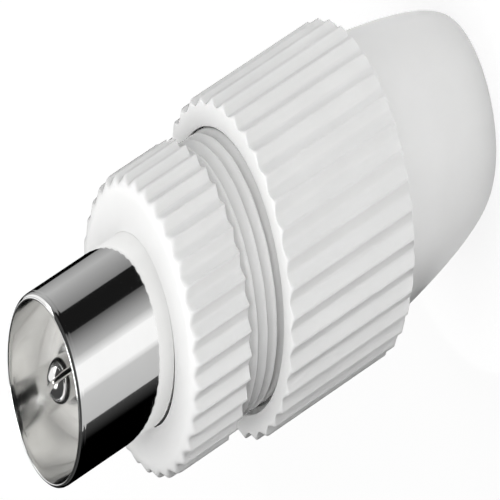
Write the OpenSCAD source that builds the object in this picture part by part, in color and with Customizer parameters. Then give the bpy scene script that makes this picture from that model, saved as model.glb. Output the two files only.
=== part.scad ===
// Coaxial aerial plug, 9.5 mm, standing on its cable end with the contact tube up.
// Heights run up from the cable end. The front nut is backed off, as the photograph shows it.

/* [Plug end] */
// Outside diameter of the contact tube
tube_d = 9.5; // [9:0.1:10]
// Length of the tube in front of the nut
tube_length = 9.6; // [8:0.1:11]
// Thickness of the contact's sheet metal
sheet = 0.4; // [0.3:0.05:0.5]
// Height of the rounded lead-in at the tube's mouth
mouth_lead = 0.5; // [0.4:0.1:1.2]
// How far the lead-in turns the mouth's edge inwards
mouth_turn_in = 0.15; // [0.1:0.05:0.2]
// How far the neck behind the tube is drawn in
neck_step = 0.25; // [0.2:0.05:0.5]
// Thickness of the flange that the nut's web pulls on
contact_flange = 1; // [0.8:0.1:1.5]
// Diameter of the centre pin
pin_d = 2.3; // [2:0.05:2.5]
// Distance of the pin's tip behind the mouth
pin_recess = 0.7; // [0.5:0.1:2.5]
// Width of the slit in the pin's nose
pin_slit = 0.35; // [0.2:0.05:0.5]
// Depth of the slit in the pin's nose
pin_slit_depth = 4; // [2:0.5:4.5]
// Wall of the hollow pin
pin_wall = 0.4; // [0.3:0.05:0.5]
// Thickness of the insulator's rim on the step between the neck and the tube
insulator_rim = 0.6; // [0.4:0.1:2]

/* [Front nut] */
// Length of the ribbed head
nut_length = 5.8; // [5:0.1:8]
// Thickness of the web at the front of the nut
nut_web = 1.6; // [1.2:0.1:2.5]
// Width of the web's seat on the contact's flange
web_seat = 0.95; // [0.6:0.05:1.2]
// How far the ribs' crests stand out past the thread
nut_shoulder = 0.6; // [0.5:0.05:1.2]
// Length of the threaded spigot behind the head
spigot_length = 7.5; // [6:0.1:9]
// Wall of the spigot under the thread
spigot_wall = 0.65; // [0.5:0.05:1]
// Pitch of the thread
thread_pitch = 1; // [0.8:0.05:1.25]
// Depth of the thread
thread_depth = 0.45; // [0.3:0.05:0.6]
// Gap between the nut and the sleeve
open_gap = 3.5; // [0.5:0.1:6]
// Radius of the rounding on the nut's front edge
nut_round = 1.4; // [0.8:0.1:1.6]

/* [Rear sleeve] */
// Length from the cable end to the front face
sleeve_length = 24.55; // [22:0.05:28]
// Length of the ribs on the sleeve
sleeve_rib_length = 12.9; // [10:0.1:15]
// Wall of the sleeve under its ribs
sleeve_wall = 1.1; // [0.8:0.05:1.5]
// Radius of the rounding on the sleeve's front edge
sleeve_round = 0.4; // [0.3:0.1:1]
// Radial step from the foot of the ribs down to the tail
tail_step = 0.85; // [0.3:0.05:0.95]
// Radial drop of the tail from its ribs to its rounded end
tail_drop = 2.55; // [1.5:0.05:2.8]
// Diameter of the cable entry
entry_d = 7.2; // [6:0.1:7.6]
// Length of the cable entry
entry_length = 4; // [2:0.5:5]

/* [Ribs] */
// Number of ribs on the nut and on the sleeve
rib_count = 36; // [24:1:48]
// Height of the ribs on the sleeve
sleeve_rib_depth = 0.4; // [0.3:0.05:0.6]
// Height of the ribs on the nut
nut_rib_depth = 0.4; // [0.25:0.05:0.5]
// Angle that the sleeve's ribs are turned by
sleeve_rib_turn = -4.2; // [-5:0.1:5]
// Angle that the nut's ribs are turned by
nut_rib_turn = -1.7; // [-5:0.1:5]

/* [Terminal] */
// Length of the contact's trough behind its flange
trough_length = 16.5; // [14:0.5:18]
// Length of one cable claw along the trough
claw_length = 2.4; // [1.5:0.1:3]
// Gap between two claws on the same side
claw_gap = 0.7; // [0.4:0.1:1.5]
// Angle round the trough that a claw reaches past the half
claw_reach = 40; // [20:5:55]
// Diameter of the pin's terminal barrel
barrel_d = 3.4; // [3.2:0.1:4]
// Length of the terminal barrel
barrel_length = 5.2; // [4.5:0.1:6]
// Diameter of the hole for the cable's inner wire
wire_d = 1.3; // [1:0.1:1.5]
// Diameter of the terminal screw's shank
screw_d = 1.4; // [1.2:0.1:1.8]
// Diameter of the terminal screw's head
screw_head_d = 2.4; // [2:0.1:3]
// Height of the terminal screw's head
screw_head_h = 0.9; // [0.7:0.1:1.2]
// How far the terminal screw is backed off from its barrel
screw_open = 0.3; // [0.2:0.05:0.6]

/* [Fits] */
// Radial gap of the tube and its flange in the nut
tube_gap = 0.1; // [0.05:0.01:0.2]
// Radial gap of the thread in the sleeve
thread_gap = 0.1; // [0.05:0.01:0.15]
// Gap along the axis between the nut's web and the contact's flange
web_gap = 0.05; // [0.02:0.01:0.1]
// Radial gap of the pieces that are pushed together
seat_gap = 0.03; // [0.01:0.01:0.05]
// Radial gap of the screw's shank in its hole
screw_gap = 0.05; // [0.02:0.01:0.1]
// Room left behind the spigot and the trough when the nut is tight
end_room = 0.5; // [0.3:0.1:1]

/* [Hidden] */
$fn = 96;
overrun = 1;

// Radii, worked out from the contact tube outwards
tube_r = tube_d / 2;
tube_in_r = tube_r - sheet;
neck_r = tube_r - neck_step;
neck_in_r = neck_r - sheet;
web_hole_r = tube_r + tube_gap;
nut_bore_r = web_hole_r + web_seat;
contact_flange_r = nut_bore_r - tube_gap;
spigot_root_r = nut_bore_r + spigot_wall;
spigot_r = spigot_root_r + thread_depth;
nut_rib_r = spigot_r + nut_shoulder;
nut_root_r = nut_rib_r - nut_rib_depth;
thread_bore_r = spigot_r + thread_gap;
sleeve_root_r = thread_bore_r + sleeve_wall;
tail_top_r = sleeve_root_r - tail_step;
tail_end_r = tail_top_r - tail_drop;
chamber_r = tube_r + end_room + sheet;
entry_r = entry_d / 2;
pin_r = pin_d / 2;
barrel_r = barrel_d / 2;

// Heights, from the cable end up to the mouth
rib_back = sleeve_length - sleeve_rib_length;
nut_back = sleeve_length + open_gap;
nut_front = nut_back + nut_length;
web_back = nut_front - nut_web;
spigot_end = nut_back - spigot_length;
mouth = nut_front + tube_length;
tube_step = nut_front + sheet;
contact_flange_front = web_back - web_gap;
contact_flange_back = contact_flange_front - contact_flange;
trough_end = contact_flange_back - trough_length;
insulator_face = tube_step + insulator_rim;
barrel_end = contact_flange_back - barrel_length;
screw_height = (contact_flange_back + barrel_end) / 2;
sleeve_shoulder = sleeve_length - spigot_length - end_room;
chamber_base = trough_end - open_gap - end_room;

// Corners of a ribbed outline: narrow crests with rounded hollows between them
rib_steps = 6;
crest_power = 1.5;
function crest(x) = pow(1 - abs(x), crest_power);
function rib_outline(root, depth) = [
    for (i = [0 : rib_count - 1], k = [0 : rib_steps - 1])
        let (x = 2 * k / rib_steps - 1, a = 360 * (i + k / rib_steps) / rib_count)
            (root + depth * crest(x)) * [cos(a), sin(a)]
];

// Outline of the tail from its ribs to its cable end: almost straight, then rounding off
tail_steps = 14;
tail_rise_power = 1.2;
tail_round_power = 1.8;
function tail_drop_at(u) = pow(1 - pow(u, tail_rise_power), 1 / tail_round_power);
tail_outline = [
    for (k = [0 : tail_steps])
        let (u = sin(90 * k / tail_steps))
            [tail_end_r + tail_drop * tail_drop_at(u), rib_back * (1 - u)]
];

// Solid with ribs all round and a rounded front edge, from height 0 up
crest_room = 0.02;
module ribbed_head(root, depth, height, front_round) {
    reach = root + depth + crest_room;
    intersection() {
        linear_extrude(height) polygon(rib_outline(root, depth));
        rotate_extrude() {
            square([reach - front_round, height]);
            square([reach, height - front_round]);
            translate([reach - front_round, height - front_round]) circle(front_round);
        }
    }
}

// Ribbed shell with a smooth tail, threaded mouth, wire chamber and cable entry
module rear_sleeve() {
    color("white") difference() {
        union() {
            translate([0, 0, rib_back]) rotate([0, 0, sleeve_rib_turn])
                ribbed_head(sleeve_root_r, sleeve_rib_depth, sleeve_rib_length, sleeve_round);
            rotate_extrude() polygon(concat(
                [[0, 0], [0, rib_back + overrun], [tail_top_r, rib_back + overrun]],
                tail_outline
            ));
        }
        translate([0, 0, sleeve_shoulder]) cylinder(r = thread_bore_r, h = sleeve_length);
        rotate_extrude() polygon([
            [0, entry_length], [entry_r, entry_length], [chamber_r, chamber_base],
            [chamber_r, sleeve_shoulder + overrun], [0, sleeve_shoulder + overrun]
        ]);
        translate([0, 0, -overrun]) cylinder(r = entry_r, h = entry_length + 2 * overrun);
    }
}

// Ribbed nut with a web that holds the contact's flange, and a spigot with thread ridges
module front_nut() {
    ridge_count = floor(spigot_length / thread_pitch);
    run_out = (spigot_length - ridge_count * thread_pitch) / 2;
    flank = 0.4 * thread_pitch;
    ridges = [
        for (k = [0 : ridge_count - 1])
            let (start = spigot_end + run_out + k * thread_pitch)
                each [
                    [spigot_root_r, start],
                    [spigot_r, start + flank],
                    [spigot_r, start + thread_pitch - flank]
                ]
    ];
    color("white") union() {
        difference() {
            translate([0, 0, nut_back]) rotate([0, 0, nut_rib_turn])
                ribbed_head(nut_root_r, nut_rib_depth, nut_length, nut_round);
            translate([0, 0, nut_back - overrun]) cylinder(r = web_hole_r, h = nut_length + 2 * overrun);
            translate([0, 0, nut_back - overrun]) cylinder(r = nut_bore_r, h = web_back - nut_back + overrun);
        }
        rotate_extrude() polygon(concat(
            [[nut_bore_r, nut_back + overrun / 2], [nut_bore_r, spigot_end], [spigot_root_r, spigot_end]],
            ridges,
            [[spigot_root_r, nut_back - run_out], [spigot_root_r, nut_back + overrun / 2]]
        ));
    }
}

// What is cut from the trough: its open half, less the claws on both sides
module trough_opening() {
    reach = 2 * neck_r;
    claw_pitch = claw_length + claw_gap;
    for (side = [0, 1])
        mirror([0, side, 0]) {
            first = trough_end + claw_gap + side * claw_pitch / 2;
            second = first + claw_pitch;
            gaps = [
                [trough_end - overrun, first],
                [first + claw_length, second],
                [second + claw_length, contact_flange_back]
            ];
            for (gap = gaps)
                translate([0, 0, gap[0]]) cube([reach, reach, gap[1] - gap[0]]);
            translate([0, 0, trough_end - overrun])
                linear_extrude(trough_length)
                    polygon([[0, 0], [reach, 0], [reach, reach / tan(claw_reach)]]);
        }
}

// Nickel-plated contact in one piece: tube, neck with its flange, trough and cable claws
module outer_contact() {
    color("silver") difference() {
        rotate_extrude() polygon([
            [neck_in_r, trough_end], [neck_r, trough_end], [neck_r, contact_flange_back],
            [contact_flange_r, contact_flange_back], [contact_flange_r, contact_flange_front],
            [neck_r, contact_flange_front], [neck_r, nut_front], [tube_r, nut_front],
            [tube_r, mouth - mouth_lead], [tube_r - mouth_turn_in / 4, mouth - mouth_lead / 2],
            [tube_r - mouth_turn_in, mouth], [tube_in_r + sheet / 4, mouth],
            [tube_in_r, mouth - mouth_lead / 2], [tube_in_r, tube_step], [neck_in_r, tube_step]
        ]);
        trough_opening();
    }
}

// White bush, pressed into the contact's neck up to its shoulder, that carries the pin
module insulator() {
    bore_r = pin_r + seat_gap;
    color("ivory") rotate_extrude() polygon([
        [bore_r, contact_flange_back], [neck_in_r - seat_gap, contact_flange_back],
        [neck_in_r - seat_gap, tube_step], [tube_in_r - seat_gap, tube_step],
        [tube_in_r - seat_gap, insulator_face], [bore_r, insulator_face]
    ]);
}

// Hollow split pin with a round nose, a swaged bead and a terminal barrel
module centre_pin() {
    tip = mouth - pin_recess;
    nose = tip - pin_r;
    hollow_r = pin_r - pin_wall;
    slit_base = tip - pin_slit_depth;
    bead_h = pin_wall;
    color("silver") difference() {
        union() {
            translate([0, 0, contact_flange_back]) cylinder(r = pin_r, h = nose - contact_flange_back);
            translate([0, 0, nose]) sphere(r = pin_r);
            translate([0, 0, insulator_face]) cylinder(r = pin_r + pin_wall, h = bead_h);
            translate([0, 0, barrel_end]) cylinder(r = barrel_r, h = barrel_length);
        }
        translate([0, 0, slit_base]) cylinder(r = hollow_r, h = nose - slit_base);
        translate([0, 0, nose]) sphere(r = hollow_r);
        translate([-pin_d, -pin_slit / 2, slit_base]) cube([2 * pin_d, pin_slit, pin_slit_depth + overrun]);
        translate([0, 0, barrel_end - overrun]) cylinder(d = wire_d, h = barrel_length - barrel_r + overrun);
        translate([0, 0, screw_height]) rotate([0, 90, 0])
            cylinder(d = screw_d + 2 * screw_gap, h = barrel_d);
    }
}

// Small slotted screw that clamps the cable's inner wire in the barrel
module terminal_screw() {
    slot_w = screw_head_d / 6;
    slot_depth = screw_head_h / 2;
    seat = barrel_r + screw_open;
    color("silver") translate([seat, 0, screw_height]) rotate([0, 90, 0]) difference() {
        union() {
            translate([0, 0, wire_d / 2 - barrel_r]) cylinder(d = screw_d, h = barrel_r - wire_d / 2);
            cylinder(d = screw_head_d, h = screw_head_h);
        }
        translate([-screw_head_d, -slot_w / 2, screw_head_h - slot_depth])
            cube([2 * screw_head_d, slot_w, slot_depth + overrun]);
    }
}

rear_sleeve();
front_nut();
outer_contact();
insulator();
centre_pin();
terminal_screw();
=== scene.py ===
"""Coaxial aerial plug on its cable end: ribbed white housing, plated contact tube and split pin."""
import math

import bpy
import numpy as np
from mathutils import Matrix, Vector


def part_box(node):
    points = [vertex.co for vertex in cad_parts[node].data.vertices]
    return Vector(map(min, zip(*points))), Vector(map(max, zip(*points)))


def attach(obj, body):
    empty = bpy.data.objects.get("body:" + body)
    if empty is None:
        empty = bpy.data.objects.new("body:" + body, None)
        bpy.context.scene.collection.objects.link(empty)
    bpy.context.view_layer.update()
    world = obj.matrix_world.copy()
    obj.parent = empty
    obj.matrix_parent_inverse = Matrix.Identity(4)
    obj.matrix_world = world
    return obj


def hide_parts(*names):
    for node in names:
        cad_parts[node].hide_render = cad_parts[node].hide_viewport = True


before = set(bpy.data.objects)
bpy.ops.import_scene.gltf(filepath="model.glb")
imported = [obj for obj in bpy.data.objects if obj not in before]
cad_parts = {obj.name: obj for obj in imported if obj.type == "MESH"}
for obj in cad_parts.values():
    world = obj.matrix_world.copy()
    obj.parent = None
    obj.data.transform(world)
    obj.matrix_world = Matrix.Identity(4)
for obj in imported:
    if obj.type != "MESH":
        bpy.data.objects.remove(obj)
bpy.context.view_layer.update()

MM = 0.001
low = {name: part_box(name)[0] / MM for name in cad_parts}
high = {name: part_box(name)[1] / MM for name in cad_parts}

# Heights in millimetres, read from the frame
sleeve_front = high["rear_sleeve"].z
spigot_end = low["front_nut"].z
nut_front = high["front_nut"].z
trough_end = low["outer_contact"].z
mouth = high["outer_contact"].z
flange_back = low["insulator"].z
insulator_face = high["insulator"].z
barrel_end = low["centre_pin"].z
pin_tip = high["centre_pin"].z

# What the frame's boxes don't give, as the solids have it. Lengths are in millimetres
RIB_COUNT = 36
RIB_CREST_POWER = 1.5
SLEEVE_RIB_LENGTH = 12.9
SLEEVE_ROOT_R = 8.1
SLEEVE_RIB_DEPTH = 0.4
SLEEVE_SHOULDER = sleeve_front - 8.0
TAIL_TOP_R = 7.25
TAIL_END_R = 4.7
TAIL_RISE_POWER = 1.2
TAIL_ROUND_POWER = 1.8
CHAMBER_R = 5.65
CHAMBER_BASE = trough_end - 4.0
ENTRY_R = 3.6
ENTRY_LENGTH = 4.0
NUT_LENGTH = 5.8
NUT_WEB = 1.6
NUT_ROUND = 1.4
NUT_ROOT_R = 7.1
NUT_RIB_DEPTH = 0.4
NUT_BORE_R = 5.8
WEB_HOLE_R = 4.85
SPIGOT_R = 6.9
THREAD_BORE_R = 7.0
THREAD_PITCH = 1.0
TUBE_R = 4.75
SHEET = 0.4
TUBE_IN_R = TUBE_R - SHEET
NECK_STEP = 0.25
NECK_R = TUBE_R - NECK_STEP
NECK_IN_R = NECK_R - SHEET
MOUTH_LEAD = 0.5
MOUTH_TURN_IN = 0.15
CONTACT_FLANGE = 1.0
CLAW_LENGTH = 2.4
CLAW_GAP = 0.7
CLAW_REACH_DEGREES = 40
PIN_R = 1.15
PIN_WALL = 0.4
PIN_SLIT = 0.35
PIN_SLIT_DEPTH = 4.0
BARREL_R = 1.7
WIRE_R = 0.65
SCREW_HOLE_R = 0.75
SEAT_GAP = 0.03

rib_back = sleeve_front - SLEEVE_RIB_LENGTH
nut_back = nut_front - NUT_LENGTH
web_back = nut_front - NUT_WEB

# Lengths in millimetres that only the scene has. Over a blend, two forms merge into each other
SLEEVE_ROUND = 0.7
SLEEVE_BLEND = 0.3
SLEEVE_BEVEL = 0.4
NUT_BLEND = 0.35
BEVEL_FOOT = 0.12
BEVEL_BLEND = 0.1
BACK_ROUND = 0.05
SPIGOT_ROOT_R = 6.2
BORE_THREAD_DEPTH = 0.35
BORE_SHIFT = 0.1
THREAD_FADE = 0.5
WEB_LIP_R = TUBE_R + 0.001
WEB_LIP_SHIFT = 0.1
TUBE_SINK = 0.25
MOUTH_IN_R = TUBE_R - 0.28
LIP_STEP = 0.012
LIP_LINE_HEIGHT = 0.002
FACE_RING_R = 2.9
FACE_RING_IN_R = 1.95
FACE_RING_DEPTH = 0.15
PIN_BEVEL = 0.03

# The thread's place along its pitch, and the share and power of its long front flank
THREAD_PHASE = 0.895
THREAD_FLANK = 0.8
THREAD_FLANK_POWER = 2.2

# Sides to which the gaps round the tube and the spigot open
WEB_LIP_SIDE = math.radians(-79)
BORE_SIDE = math.radians(-89)

# Three fine lines run round the tube's lip
LIP_LINES = 3

# Ribbed meshes have twelve columns to a rib, and the ribs are turned by whole columns
COLUMNS = 12 * RIB_COUNT
ANGLES = np.arange(COLUMNS) * 2 * math.pi / COLUMNS
SLEEVE_RIB_TURN = math.radians(-25 / 6)
NUT_RIB_TURN = math.radians(-5 / 3)


def soft_min(a, b, blend):
    """Smaller of a and b, with a smooth change where they are close."""
    share = np.clip(0.5 + 0.5 * (b - a) / blend, 0, 1)
    return b * (1 - share) + a * share - blend * share * (1 - share)


def smooth(x):
    """Ease from 0 to 1 as x goes from 0 to 1."""
    x = np.clip(x, 0, 1)
    return x * x * (3 - 2 * x)


def rounded(corners, steps=4):
    """Points of an open outline with rounded corners.

    Each corner is a radius, a height and the size of its rounding. Both ends stay as they are.
    """
    points = []
    for i, (r, z, size) in enumerate(corners):
        here = np.array([r, z])
        if size == 0 or i == 0 or i == len(corners) - 1:
            points.append((r, z))
            continue
        back = np.array(corners[i - 1][:2]) - here
        ahead = np.array(corners[i + 1][:2]) - here
        back = back / np.linalg.norm(back)
        ahead = ahead / np.linalg.norm(ahead)
        half = math.acos(float(np.clip(back @ ahead, -1, 1))) / 2
        middle = (back + ahead) / np.linalg.norm(back + ahead)
        centre = here + middle * size / math.sin(half)
        start = here + back * size / math.tan(half) - centre
        end = here + ahead * size / math.tan(half) - centre
        turn = math.pi - 2 * half
        for k in range(steps + 1):
            share = k / steps
            spoke = math.sin((1 - share) * turn) * start + math.sin(share * turn) * end
            points.append(tuple(centre + spoke / math.sin(turn)))
    return points


def new_object(name, verts, faces, sharp_angle=40):
    """Mesh object in the scene from points in millimetres, smooth up to the angle in degrees."""
    mesh = bpy.data.meshes.new(name)
    mesh.from_pydata((np.asarray(verts) * MM).tolist(), [], faces)
    mesh.update()
    mesh.shade_smooth()
    mesh.set_sharp_from_angle(angle=math.radians(sharp_angle))
    obj = bpy.data.objects.new(name, mesh)
    bpy.context.scene.collection.objects.link(obj)
    return obj


def loops_to_mesh(name, rows, columns=COLUMNS, closed=True, sharp_angle=40):
    """Joins loops round the axis into a mesh. A row is a radius, or one a column, and a height."""
    angles = np.arange(columns) * 2 * math.pi / columns
    verts = []
    for radius, height in rows:
        r = np.broadcast_to(radius, angles.shape)
        z = np.broadcast_to(height, angles.shape)
        verts.append(np.stack([r * np.cos(angles), r * np.sin(angles), z], axis=1))
    verts = np.concatenate(verts)
    faces = []
    count = len(rows)
    for i in range(count if closed else count - 1):
        a, b = i * columns, (i + 1) % count * columns
        for j in range(columns):
            k = (j + 1) % columns
            faces.append((a + j, a + k, b + k, b + j))
    if not closed:
        faces.append(tuple(reversed(range(columns))))
        faces.append(tuple(range((count - 1) * columns, count * columns)))
    return new_object(name, verts, faces, sharp_angle)


def rib_radius(root, depth, turn):
    """Radius of a ribbed wall at each column: narrow crests with rounded hollows between them."""
    x = 2 * ((ANGLES - turn) * RIB_COUNT / (2 * math.pi) % 1) - 1
    return root + depth * (1 - np.abs(x)) ** RIB_CREST_POWER


def ribbed_rows(root, depth, back, front, front_round, blend, turn, back_bevel=0.0):
    """Rows of a ribbed wall, from its back edge up and over its rounded front edge.

    The ribs fade out over the front edge. The back edge is a bevel that takes the ribs nearly
    down to the root, or else a small round.
    """
    rib = rib_radius(root, depth, turn)
    rows = []
    if back_bevel:
        for share in np.linspace(0, 1, 9):
            limit = root + BEVEL_FOOT + (depth + BEVEL_BLEND - BEVEL_FOOT) * share
            rows.append((soft_min(rib, limit, BEVEL_BLEND), back + back_bevel * share))
    else:
        for a in np.radians(np.linspace(0, 90, 4)):
            inset = BACK_ROUND * (1 - math.sin(a))
            rows.append((rib - inset, back + BACK_ROUND * (1 - math.cos(a))))
    straight_start = back + (back_bevel or BACK_ROUND)
    straight_end = front - front_round
    for z in np.linspace(straight_start, straight_end, 10)[1:]:
        rows.append((rib, z))
    middle_r = root + depth + blend - front_round
    for a in np.radians(np.linspace(0, 90, 21))[1:]:
        limit = middle_r + front_round * math.cos(a)
        rows.append((soft_min(rib, limit, blend), straight_end + front_round * math.sin(a)))
    return rows


def thread_height(z):
    """Share of the thread's depth at each column at height z.

    The thread is right-hand, with a long round flank in front and a short straight one behind.
    """
    x = (z / THREAD_PITCH - ANGLES / (2 * math.pi) + THREAD_PHASE) % 1
    front_flank = 1 - (x / THREAD_FLANK) ** THREAD_FLANK_POWER
    back_flank = (x - THREAD_FLANK) / (1 - THREAD_FLANK)
    return np.maximum(front_flank, back_flank)


def thread_rows(start, end, wall, depth, rows_per_turn):
    """Rows of a thread that fades out at both ends. A negative depth makes a bore's thread."""
    bottom, top = min(start, end), max(start, end)
    count = int((top - bottom) / THREAD_PITCH * rows_per_turn)
    rows = []
    for z in np.linspace(start, end, count):
        share = smooth((z - bottom) / THREAD_FADE) * smooth((top - z) / THREAD_FADE)
        height = thread_height(z)
        rows.append((wall + depth * share * (height if depth > 0 else 1 - height), z))
    return rows


def make_rear_sleeve():
    """Ribbed shell with a smooth tail, a threaded mouth, a wire chamber and a cable entry."""
    rows = rounded([
        (ENTRY_R, ENTRY_LENGTH - 1, 0),
        (ENTRY_R, 0, 0.25),
        (TAIL_END_R - 0.3, 0, 0),
    ])
    drop = TAIL_TOP_R - TAIL_END_R
    for a in np.radians(np.linspace(90, 0, 45))[:-1]:
        u = math.sin(a)
        swell = (1 - u ** TAIL_RISE_POWER) ** (1 / TAIL_ROUND_POWER)
        rows.append((TAIL_END_R + drop * swell, rib_back * (1 - u)))
    rows += rounded([
        (TAIL_TOP_R, rib_back - 0.3, 0),
        (TAIL_TOP_R, rib_back, 0.15),
        (SLEEVE_ROOT_R - 0.2, rib_back, 0),
    ])[1:]
    rows += ribbed_rows(
        SLEEVE_ROOT_R, SLEEVE_RIB_DEPTH, rib_back, sleeve_front, SLEEVE_ROUND,
        blend=SLEEVE_BLEND, turn=SLEEVE_RIB_TURN, back_bevel=SLEEVE_BEVEL,
    )
    rows.append((THREAD_BORE_R + 0.4, sleeve_front))
    lip = rounded([
        (THREAD_BORE_R + 0.3, sleeve_front, 0),
        (THREAD_BORE_R + 0.1, sleeve_front, 0.08),
        (THREAD_BORE_R + 0.06, sleeve_front - 0.3, 0),
    ])
    shift = BORE_SHIFT * np.cos(ANGLES - BORE_SIDE)
    rows += [(radius + shift, z) for radius, z in lip]
    rows.append((THREAD_BORE_R + shift / 2, sleeve_front - 0.5))
    rows += thread_rows(
        sleeve_front - 1.4, SLEEVE_SHOULDER + 0.5, THREAD_BORE_R, -BORE_THREAD_DEPTH,
        rows_per_turn=10,
    )
    rows += rounded([
        (THREAD_BORE_R, SLEEVE_SHOULDER + 0.4, 0),
        (THREAD_BORE_R, SLEEVE_SHOULDER, 0.15),
        (CHAMBER_R, SLEEVE_SHOULDER, 0.15),
        (CHAMBER_R, CHAMBER_BASE, 0.5),
        (ENTRY_R, ENTRY_LENGTH, 0.5),
        (ENTRY_R, ENTRY_LENGTH - 0.9, 0),
    ])
    return loops_to_mesh("rear_sleeve_shell", rows, sharp_angle=150)


def make_front_nut():
    """Ribbed nut with a web that holds the contact's flange, and a spigot with a helical thread."""
    rows = rounded([
        (NUT_BORE_R, spigot_end + 0.5, 0),
        (NUT_BORE_R, spigot_end, 0.12),
        (SPIGOT_ROOT_R, spigot_end, 0.12),
        (SPIGOT_ROOT_R, spigot_end + 0.2, 0),
    ])
    rows += thread_rows(
        spigot_end + 0.25, nut_back - 0.2, SPIGOT_ROOT_R, SPIGOT_R - SPIGOT_ROOT_R,
        rows_per_turn=18,
    )
    rows += rounded([
        (SPIGOT_ROOT_R, nut_back - 0.19, 0),
        (SPIGOT_ROOT_R, nut_back, 0.1),
        (NUT_ROOT_R - 0.15, nut_back, 0),
    ])[1:]
    rows += ribbed_rows(
        NUT_ROOT_R, NUT_RIB_DEPTH, nut_back, nut_front, NUT_ROUND,
        blend=NUT_BLEND, turn=NUT_RIB_TURN,
    )
    lip = rounded([
        (NUT_ROOT_R - NUT_ROUND, nut_front, 0),
        (WEB_LIP_R, nut_front, 0.01),
        (WEB_LIP_R, nut_front - 0.4, 0.03),
        (WEB_HOLE_R, nut_front - 0.5, 0),
    ])
    shift = WEB_LIP_SHIFT * ((1 + np.cos(ANGLES - WEB_LIP_SIDE)) / 2) ** 8
    rows += [(radius + shift, z) for radius, z in lip]
    rows += rounded([
        (WEB_HOLE_R, nut_front - 0.7, 0),
        (WEB_HOLE_R, web_back, 0.08),
        (NUT_BORE_R, web_back, 0.15),
        (NUT_BORE_R, spigot_end + 0.6, 0),
    ])
    return loops_to_mesh("front_nut_shell", rows, sharp_angle=150)


def trough_mesh(columns_per_half=60):
    """Points and faces of the sheet-metal trough behind the contact's flange, with its claws."""
    claw_pitch = CLAW_LENGTH + CLAW_GAP
    claws = []
    levels = {trough_end, flange_back + SHEET / 2}
    for side in (0, 1):
        first = trough_end + CLAW_GAP + side * claw_pitch / 2
        spans = [(start, start + CLAW_LENGTH) for start in (first, first + claw_pitch)]
        claws.append(spans)
        levels.update(*spans)
    heights = sorted(levels)
    step = 180 / columns_per_half
    degrees = np.arange(90 - CLAW_REACH_DEGREES, 270 + CLAW_REACH_DEGREES + step / 2, step)

    def kept(i, j):
        """True where a cell of the sheet is metal: the trough's half, and the claws beyond it."""
        if not (0 <= i < len(degrees) - 1 and 0 <= j < len(heights) - 1):
            return False
        angle = (degrees[i] + degrees[i + 1]) / 2
        z = (heights[j] + heights[j + 1]) / 2
        if 90 <= angle <= 270:
            return True
        side = 0 if angle < 90 else 1
        return any(a < z < b for a, b in claws[side])

    verts, number, faces = [], {}, []

    def corner(i, j, radius):
        """Number of the point at a corner of a cell, which is added when it is first asked for."""
        if (i, j, radius) not in number:
            number[i, j, radius] = len(verts)
            a = math.radians(degrees[i])
            verts.append((radius * math.cos(a), radius * math.sin(a), heights[j]))
        return number[i, j, radius]

    for i in range(len(degrees) - 1):
        for j in range(len(heights) - 1):
            if not kept(i, j):
                continue
            ring = [(i, j), (i + 1, j), (i + 1, j + 1), (i, j + 1)]
            faces.append(tuple(corner(*c, NECK_R) for c in ring))
            faces.append(tuple(corner(*c, NECK_IN_R) for c in reversed(ring)))
            neighbours = [(i, j - 1), (i + 1, j), (i, j + 1), (i - 1, j)]
            for k in range(4):
                if not kept(*neighbours[k]):
                    a, b = ring[k], ring[(k + 1) % 4]
                    outside = (corner(*b, NECK_R), corner(*a, NECK_R))
                    faces.append((*outside, corner(*a, NECK_IN_R), corner(*b, NECK_IN_R)))
    return verts, faces


def join(target, other):
    """Adds the mesh of another object to the target's."""
    bpy.ops.object.select_all(action="DESELECT")
    target.select_set(True)
    other.select_set(True)
    bpy.context.view_layer.objects.active = target
    bpy.ops.object.join()


def make_outer_contact():
    """Plated contact in one piece: tube with a thin turned-in lip, flange, trough and cable claws.

    The tube's lower edge is sunk in the nut's hole, out of sight.
    """
    flange_r = high["outer_contact"].x
    flange_front = flange_back + CONTACT_FLANGE
    tube_base = nut_front - TUBE_SINK
    tube_step = nut_front + SHEET
    lip_base = mouth - MOUTH_LEAD
    thin_end = insulator_face - 0.2
    rows = rounded([
        (NECK_IN_R, tube_step - 1, 0),
        (NECK_IN_R, flange_back, 0.05),
        (flange_r, flange_back, 0.08),
        (flange_r, flange_front, 0.08),
        (NECK_R, flange_front, 0.05),
        (NECK_R, tube_base, 0.05),
        (TUBE_R, tube_base, 0.05),
        (TUBE_R, nut_front + 0.2, 0),
    ])
    straight = np.linspace(nut_front + 0.3, lip_base, 8)[:-1]
    rows += [(TUBE_R, z) for z in (*straight, lip_base - 0.1, lip_base)]
    rim = (TUBE_R - MOUTH_TURN_IN - MOUTH_IN_R) / 2
    for share in np.linspace(0, 1, 25)[1:]:
        line = LIP_LINE_HEIGHT * math.sin(2 * math.pi * LIP_LINES * share)
        turn_in = LIP_STEP + (MOUTH_TURN_IN - LIP_STEP) * share ** 4
        rows.append((TUBE_R - turn_in + line, lip_base + (MOUTH_LEAD - rim) * share))
    middle_r = TUBE_R - MOUTH_TURN_IN - rim
    for a in np.linspace(0, math.pi, 9)[1:-1]:
        rows.append((middle_r + rim * math.cos(a), mouth - rim + rim * math.sin(a)))
    rows += rounded([
        (MOUTH_IN_R, mouth - rim, 0),
        (MOUTH_IN_R, lip_base, 0),
        (MOUTH_IN_R, lip_base - MOUTH_LEAD, 0),
        (MOUTH_IN_R, thin_end + 1, 0),
        (MOUTH_IN_R, thin_end, 0.02),
        (TUBE_IN_R, thin_end, 0.02),
        (TUBE_IN_R, tube_step, 0.02),
        (NECK_IN_R, tube_step, 0.02),
        (NECK_IN_R, tube_step - 0.9, 0),
    ])
    contact = loops_to_mesh("outer_contact_body", rows, columns=288, sharp_angle=35)
    join(contact, new_object("trough", *trough_mesh()))
    return contact


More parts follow.
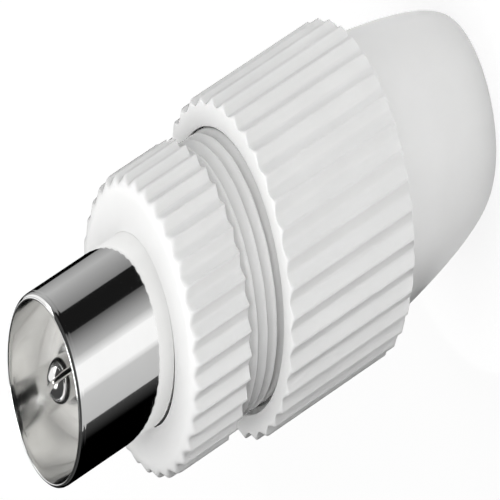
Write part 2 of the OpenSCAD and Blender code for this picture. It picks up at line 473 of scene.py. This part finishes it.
def make_insulator():
    """White bush in the contact's tube, with a shallow slope-sided ring in its face."""
    bore = PIN_R + SEAT_GAP
    out = high["insulator"].x
    neck = out - (TUBE_IN_R - NECK_IN_R)
    shoulder = nut_front + SHEET
    face_r = MOUTH_IN_R - SEAT_GAP
    face_base = insulator_face - 0.17
    ring_base = insulator_face - FACE_RING_DEPTH
    rows = rounded([
        (bore, insulator_face - 1, 0),
        (bore, flange_back, 0.05),
        (neck, flange_back, 0.15),
        (neck, shoulder, 0.02),
        (out, shoulder, 0.05),
        (out, face_base, 0.02),
        (face_r, face_base, 0.02),
        (face_r, insulator_face, 0.05),
        (FACE_RING_R, insulator_face, 0.05),
        (FACE_RING_R - FACE_RING_DEPTH, ring_base, 0.05),
        (FACE_RING_IN_R + FACE_RING_DEPTH, ring_base, 0.05),
        (FACE_RING_IN_R, insulator_face, 0.05),
        (bore, insulator_face, 0.05),
        (bore, insulator_face - 0.9, 0),
    ])
    return loops_to_mesh("insulator_bush", rows, columns=192)


def cut(target, cutter):
    """Takes the cutter's solid away from the target's."""
    tool = target.modifiers.new("cut", "BOOLEAN")
    tool.operation = "DIFFERENCE"
    tool.solver = "EXACT"
    tool.object = cutter
    bpy.context.view_layer.objects.active = target
    bpy.ops.object.modifier_apply(modifier=tool.name)
    bpy.data.objects.remove(cutter)


def block(name, corner_a, corner_b):
    """Box between two corners in millimetres."""
    xs, ys, zs = zip(corner_a, corner_b)
    verts = [(x, y, z) for z in zs for y in ys for x in xs]
    faces = [(0, 2, 3, 1), (4, 5, 7, 6), (0, 1, 5, 4), (2, 6, 7, 3), (0, 4, 6, 2), (1, 3, 7, 5)]
    return new_object(name, verts, faces)


def rod(name, radius, start, end):
    """Upright cylinder between two heights in millimetres."""
    return loops_to_mesh(name, [(radius, start), (radius, end)], 48, closed=False)


def dome_rows(radius, base, count):
    """Rows of a half ball above its base, up to just short of its top."""
    angles = np.radians(np.linspace(0, 88, count))
    return [(radius * math.cos(a), base + radius * math.sin(a)) for a in angles]


def make_centre_pin():
    """Hollow split pin with a domed nose, a swaged bead and a terminal barrel with a screw hole."""
    nose = pin_tip - PIN_R
    bead_r = PIN_R + PIN_WALL
    bead_top = insulator_face + PIN_WALL
    rows = rounded([
        (BARREL_R - 0.2, barrel_end, 0),
        (BARREL_R, barrel_end, 0.12),
        (BARREL_R, flange_back, 0.12),
        (PIN_R, flange_back, 0.05),
        (PIN_R, insulator_face, 0),
        (bead_r, insulator_face, 0.12),
        (bead_r, bead_top, 0.2),
        (PIN_R, bead_top, 0.1),
        (PIN_R, nose - 0.05, 0),
    ])
    rows += dome_rows(PIN_R, nose, 15)
    pin = loops_to_mesh("centre_pin_body", rows, columns=96, closed=False)
    hollow_r = PIN_R - PIN_WALL
    slit_base = pin_tip - PIN_SLIT_DEPTH
    hollow = [(hollow_r, slit_base), *dome_rows(hollow_r, nose, 10)]
    cut(pin, loops_to_mesh("hollow", hollow, columns=64, closed=False))
    half = PIN_SLIT / 2
    cut(pin, block("slit", (-2 * PIN_R, -half, slit_base), (2 * PIN_R, half, pin_tip + 1)))
    cut(pin, rod("wire_hole", WIRE_R, barrel_end - 1, flange_back - BARREL_R))
    # The screw hole is turned a little about its own axis, so that its edges miss the barrel's
    hole = rod("screw_hole", SCREW_HOLE_R, 0, 2 * BARREL_R)
    screw_height = (flange_back + barrel_end) / 2
    lift = Matrix.Translation((0, 0, screw_height * MM))
    lay_down = Matrix.Rotation(math.radians(90), 4, "Y")
    twist = Matrix.Rotation(math.radians(2.5), 4, "Z")
    hole.data.transform(lift @ (lay_down @ twist))
    cut(pin, hole)
    pin.data.set_sharp_from_angle(angle=math.radians(35))
    edges = pin.modifiers.new("edges", "BEVEL")
    edges.width = PIN_BEVEL * MM
    edges.segments = 2
    edges.limit_method = "ANGLE"
    edges.angle_limit = math.radians(40)
    return pin


def shader(name):
    """New material with its nodes, links and main shader."""
    mat = bpy.data.materials.new(name)
    mat.use_nodes = True
    tree = mat.node_tree
    return mat, tree.nodes, tree.links, tree.nodes["Principled BSDF"]


def calculate(nodes, links, operation, *values):
    """Result of a math node. Each value is a number or the output of another node."""
    node = nodes.new("ShaderNodeMath")
    node.operation = operation
    for socket, value in zip(node.inputs, values):
        if isinstance(value, bpy.types.NodeSocket):
            links.new(value, socket)
        else:
            socket.default_value = value
    return node.outputs[0]


def noise(nodes, links, size_mm, detail=3.0, stretch=(1, 1, 1)):
    """Noise in the object's own coordinates, with features of about the given size."""
    coords = nodes.new("ShaderNodeTexCoord")
    place = nodes.new("ShaderNodeMapping")
    place.inputs["Scale"].default_value = stretch
    links.new(coords.outputs["Object"], place.inputs["Vector"])
    tex = nodes.new("ShaderNodeTexNoise")
    tex.inputs["Scale"].default_value = 1 / (size_mm * MM)
    tex.inputs["Detail"].default_value = detail
    links.new(place.outputs["Vector"], tex.inputs["Vector"])
    return tex.outputs["Fac"]


def map_range(nodes, links, source, to_low, to_high, from_low=0.0, from_high=1.0):
    """Carries a value from one range over to another."""
    node = nodes.new("ShaderNodeMapRange")
    node.inputs["From Min"].default_value = from_low
    node.inputs["From Max"].default_value = from_high
    node.inputs["To Min"].default_value = to_low
    node.inputs["To Max"].default_value = to_high
    links.new(source, node.inputs["Value"])
    return node.outputs["Result"]


def two_tones(nodes, links, source, first, second):
    """Mixes two colours by a noise."""
    ramp = nodes.new("ShaderNodeValToRGB")
    ramp.color_ramp.elements[0].position = 0.35
    ramp.color_ramp.elements[1].position = 0.65
    ramp.color_ramp.elements[0].color = (*first, 1)
    ramp.color_ramp.elements[1].color = (*second, 1)
    links.new(source, ramp.inputs["Fac"])
    return ramp.outputs["Color"]


def bump(nodes, links, source, height_mm, strength):
    """Relief of a noise, with the given height."""
    node = nodes.new("ShaderNodeBump")
    node.inputs["Distance"].default_value = height_mm * MM
    node.inputs["Strength"].default_value = strength
    links.new(source, node.inputs["Height"])
    return node.outputs["Normal"]


# The middle of a noise's range, which becomes the range of the roughness
NOISE_LOW = 0.3
NOISE_HIGH = 0.7


def moulded_plastic(name, first, second, rough_low, rough_high):
    """Satin moulded plastic, clouded between two tones by a noise, with a fine spark-eroded grain.
    """
    mat, nodes, links, main = shader(name)
    cloud = noise(nodes, links, size_mm=4.0)
    links.new(two_tones(nodes, links, cloud, first, second), main.inputs["Base Color"])
    grain = noise(nodes, links, size_mm=0.12, detail=4.0)
    rough = map_range(nodes, links, grain, rough_low, rough_high, NOISE_LOW, NOISE_HIGH)
    links.new(rough, main.inputs["Roughness"])
    relief = bump(nodes, links, grain, height_mm=0.01, strength=0.25)
    links.new(relief, main.inputs["Normal"])
    main.inputs["IOR"].default_value = 1.5
    return mat


def near_axis(nodes, links, distance_mm):
    """1 within a distance of the object's own upright axis, otherwise 0."""
    coords = nodes.new("ShaderNodeTexCoord")
    flat = nodes.new("ShaderNodeVectorMath")
    flat.operation = "MULTIPLY"
    flat.inputs[1].default_value = (1, 1, 0)
    links.new(coords.outputs["Object"], flat.inputs[0])
    distance = nodes.new("ShaderNodeVectorMath")
    distance.operation = "LENGTH"
    links.new(flat.outputs["Vector"], distance.inputs[0])
    return calculate(nodes, links, "LESS_THAN", distance.outputs["Value"], distance_mm * MM)


def plated_metal(
    name, first, second, rough_low, rough_high, scratch, dull_inside=0.0, dull_added=0.0,
):
    """Bright plating with faint drawing marks along the axis.

    It is rougher by the added amount within a given distance of the axis in millimetres.
    """
    mat, nodes, links, main = shader(name)
    cloud = noise(nodes, links, size_mm=3.0)
    links.new(two_tones(nodes, links, cloud, first, second), main.inputs["Base Color"])
    marks = noise(nodes, links, size_mm=0.2, detail=4.0, stretch=(1, 1, 0.06))
    rough = map_range(nodes, links, marks, rough_low, rough_high, NOISE_LOW, NOISE_HIGH)
    if dull_added:
        inside = near_axis(nodes, links, dull_inside)
        rough = calculate(nodes, links, "MULTIPLY_ADD", inside, dull_added, rough)
    links.new(rough, main.inputs["Roughness"])
    relief = bump(nodes, links, marks, height_mm=0.002, strength=scratch)
    links.new(relief, main.inputs["Normal"])
    main.inputs["Metallic"].default_value = 1.0
    return mat


white_plastic = moulded_plastic(
    "white_plastic", (0.85, 0.85, 0.845), (0.87, 0.87, 0.865), rough_low=0.30, rough_high=0.40,
)
# The bush's two grey tones are partly its own clouding and partly painted shade, which darkens the
# inside of the tube.
insulator_plastic = moulded_plastic(
    "insulator_plastic", (0.74, 0.73, 0.71), (0.83, 0.82, 0.79), rough_low=0.48, rough_high=0.58,
)
nickel = plated_metal(
    "nickel", (0.86, 0.86, 0.855), (0.89, 0.89, 0.885), rough_low=0.05, rough_high=0.08,
    scratch=0.03, dull_inside=MOUTH_IN_R + 0.02, dull_added=0.04,
)
pin_nickel = plated_metal(
    "pin_nickel", (0.84, 0.84, 0.835), (0.88, 0.88, 0.875), rough_low=0.08, rough_high=0.14,
    scratch=0.05,
)
screw_steel = plated_metal(
    "screw_steel", (0.58, 0.58, 0.57), (0.64, 0.64, 0.63), rough_low=0.25, rough_high=0.4,
    scratch=0.3,
)

PIECES = [
    (make_rear_sleeve(), "rear_sleeve", "sleeve", "white_plastic", white_plastic),
    (make_front_nut(), "front_nut", "nut", "white_plastic", white_plastic),
    (make_outer_contact(), "outer_contact", "insert", "nickel", nickel),
    (make_insulator(), "insulator", "insert", "insulator_plastic", insulator_plastic),
    (make_centre_pin(), "centre_pin", "insert", "nickel", pin_nickel),
]
for piece, node, body, slot, mat in PIECES:
    piece.data.materials.clear()
    piece.data.materials.append(mat)
    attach(piece, body)
    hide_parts(node)
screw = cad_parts["terminal_screw"]
screw.data.materials.clear()
screw.data.materials.append(screw_steel)

# Camera. The photograph is squeezed sideways, so the camera's up direction leans towards its line
# of sight, which squeezes the main view in the same way. The other views drop the parent and so
# show true proportions. Lengths are in millimetres, with the mouth's place from the middle of the
# picture.
SQUEEZE = 1.717
VIEW_AZIMUTH = math.radians(81)
VIEW_ELEVATION = math.radians(34.06)
AXIS_SLOPE = math.radians(21.46)
CAMERA_DISTANCE = 1422.0
MOUTH_RIGHT = -16.45
MOUTH_UP = -6.57
SENSOR = 36.0
LENS = 1279.0

toward = Vector((math.sin(VIEW_AZIMUTH), -math.cos(VIEW_AZIMUTH), 0))
beside = Vector((math.cos(VIEW_AZIMUTH), math.sin(VIEW_AZIMUTH), 0))
back = toward * math.cos(VIEW_ELEVATION) + Vector((0, 0, math.sin(VIEW_ELEVATION)))
down_axis = toward * math.sin(VIEW_ELEVATION) - Vector((0, 0, math.cos(VIEW_ELEVATION)))
right = down_axis * math.cos(AXIS_SLOPE) - beside * math.sin(AXIS_SLOPE)
up = down_axis * math.sin(AXIS_SLOPE) + beside * math.cos(AXIS_SLOPE)
lean = math.acos(1 / SQUEEZE)
leaning_up = up * math.cos(lean) + back * math.sin(lean)
eye = Vector((0, 0, mouth)) - right * MOUTH_RIGHT - up * MOUTH_UP + back * CAMERA_DISTANCE

camera_data = bpy.data.cameras.new("camera")
camera_data.lens = LENS
camera_data.sensor_width = SENSOR
camera_data.clip_start = 0.1
camera_data.clip_end = 10.0
camera = bpy.data.objects.new("camera", camera_data)
holder = bpy.data.objects.new("camera_holder", None)
for obj in (camera, holder):
    bpy.context.scene.collection.objects.link(obj)
camera.parent = holder
pose = Matrix.Identity(4)
for column, vector in enumerate((right, leaning_up, back, eye * MM)):
    for row in range(3):
        pose[row][column] = vector[row]
camera.matrix_parent_inverse = pose
bpy.context.scene.camera = camera

# Soft lamps: level, bearing and elevation in degrees, distance and size in metres. Bearings are
# measured from the camera's side, towards the top of the main view.
LAMPS = [
    ("key_top", 0.1, 80, 30, 0.6, 0.4),
    ("key_front", 0.21, 0, 10, 0.6, 0.4),
    ("key_high", 0.3, 0, 55, 0.6, 0.4),
    ("overhead", 0.64, 0, 89, 0.7, 0.35),
    ("overhead_side", 0.11, 85, 75, 0.7, 0.25),
]

# Cards round the plug, which its plating mirrors: shape, bearing in degrees at both edges,
# brightness at both edges, and whether the card also keeps fill light off the plug. Each shape is
# the reach and height in millimetres of its lower and upper edge.
UPRIGHT = [(40.0, 0.2), (40.0, 44.0)]
ON_FLOOR = [(13.0, 0.3), (40.0, 0.3)]
OVERHEAD = [(40.0, 44.0), (22.0, 95.0)]
CARDS = [
    ("card_dark_low", UPRIGHT, -180, -84, 0.0, 0.0, True),
    ("card_shade_low", UPRIGHT, -84, -64, 0.0, 0.06, False),
    ("card_pale_low", UPRIGHT, -64, -30, 0.55, 0.62, False),
    ("card_white_rise", UPRIGHT, -30, -24, 0.7, 1.0, False),
    ("card_white", UPRIGHT, -24, 2, 1.05, 1.05, False),
    ("card_white_fall", UPRIGHT, 2, 12, 0.95, 0.55, False),
    ("card_fall", UPRIGHT, 12, 40, 0.5, 0.1, False),
    ("card_dark_top", UPRIGHT, 40, 71, 0.01, 0.01, False),
    ("card_grey_rise", UPRIGHT, 71, 112, 0.24, 0.5, False),
    ("card_grey_fall", UPRIGHT, 112, 142, 0.5, 0.3, False),
    ("card_dark_back", UPRIGHT, 142, 180, 0.0, 0.0, False),
    ("card_floor_low", ON_FLOOR, -180, -84, 0.0, 0.0, True),
    ("card_overhead", OVERHEAD, -200, 80, 0.06, 0.06, False),
]


def level_direction(bearing):
    """Level direction from the plug at a bearing in degrees."""
    angle = math.radians(bearing)
    return toward * math.cos(angle) + beside * math.sin(angle)


def backdrop_rays(nodes, links):
    """1 for rays that see the backdrop: from the camera, a reflection or through glass. Else 0."""
    path = nodes.new("ShaderNodeLightPath").outputs
    seen = calculate(nodes, links, "MAXIMUM", path["Is Camera Ray"], path["Is Glossy Ray"])
    return calculate(nodes, links, "MAXIMUM", seen, path["Is Transmission Ray"])


def make_world(fill):
    """White where it is seen, and a plain soft fill light on the object."""
    world = bpy.data.worlds.new("world")
    bpy.context.scene.world = world
    world.use_nodes = True
    nodes, links = world.node_tree.nodes, world.node_tree.links
    shade = nodes["Background"]
    shade.inputs["Color"].default_value = (1, 1, 1, 1)
    strength = map_range(nodes, links, backdrop_rays(nodes, links), fill, 1.0)
    links.new(strength, shade.inputs["Strength"])


def make_floor(half_width, glow, seen_colour, colour):
    """Pale floor that shows white, apart from a faint shadow of the object."""
    size = half_width / MM
    corners = [(-size, -size, 0), (size, -size, 0), (size, size, 0), (-size, size, 0)]
    floor = new_object("floor", corners, [(0, 1, 2, 3)])
    mat, nodes, links, main = shader("floor")
    nodes.remove(main)
    seen = backdrop_rays(nodes, links)
    emit = nodes.new("ShaderNodeEmission")
    links.new(calculate(nodes, links, "MULTIPLY", seen, glow), emit.inputs["Strength"])
    matt = nodes.new("ShaderNodeBsdfDiffuse")
    links.new(map_range(nodes, links, seen, colour, seen_colour), matt.inputs["Color"])
    both = nodes.new("ShaderNodeAddShader")
    links.new(emit.outputs[0], both.inputs[0])
    links.new(matt.outputs[0], both.inputs[1])
    links.new(both.outputs[0], nodes["Material Output"].inputs["Surface"])
    floor.data.materials.append(mat)


def make_lamp(name, level, bearing, elevation, distance, size):
    """Round soft lamp aimed at the plug. Level is the brightness that it gives a white surface."""
    lamp = bpy.data.lights.new(name, "AREA")
    lamp.shape = "DISK"
    lamp.size = size
    lamp.energy = level * math.pi ** 2 * distance ** 2
    obj = bpy.data.objects.new(name, lamp)
    bpy.context.scene.collection.objects.link(obj)
    rise = math.radians(elevation)
    direction = level_direction(bearing) * math.cos(rise) + Vector((0, 0, math.sin(rise)))
    obj.location = Vector((0, 0, mouth * MM / 2)) + direction * distance
    obj.rotation_mode = "QUATERNION"
    obj.rotation_quaternion = direction.to_track_quat("Z", "Y")


def make_card(name, shape, start, end, first, last, blocks_fill, steps=24):
    """Curved card with a plain gradient along it, seen in reflections. It shades no lamp."""
    verts, tones = [], []
    for k in range(steps + 1):
        share = k / steps
        side = level_direction(start + (end - start) * share)
        verts += [(side.x * reach, side.y * reach, z) for reach, z in shape]
        tones += [first + (last - first) * share] * 2
    faces = [(2 * k, 2 * k + 2, 2 * k + 3, 2 * k + 1) for k in range(steps)]
    card = new_object(name, verts, faces)
    tone = card.data.color_attributes.new("tone", "FLOAT_COLOR", "POINT")
    for point, level in zip(tone.data, tones):
        point.color = (level, level, level, 1)
    mat, nodes, links, main = shader(name)
    nodes.remove(main)
    source = nodes.new("ShaderNodeVertexColor")
    source.layer_name = "tone"
    emit = nodes.new("ShaderNodeEmission")
    links.new(source.outputs["Color"], emit.inputs["Color"])
    links.new(emit.outputs[0], nodes["Material Output"].inputs["Surface"])
    card.data.materials.append(mat)
    card.visible_camera = False
    card.visible_diffuse = blocks_fill
    card.visible_shadow = False
    card.visible_transmission = False
    card.visible_volume_scatter = False


make_world(fill=0.05)
make_floor(half_width=0.6, glow=0.88, seen_colour=0.14, colour=0.9)
for lamp in LAMPS:
    make_lamp(*lamp)
for card in CARDS:
    make_card(*card)

bpy.context.scene.view_settings.view_transform = "Standard"
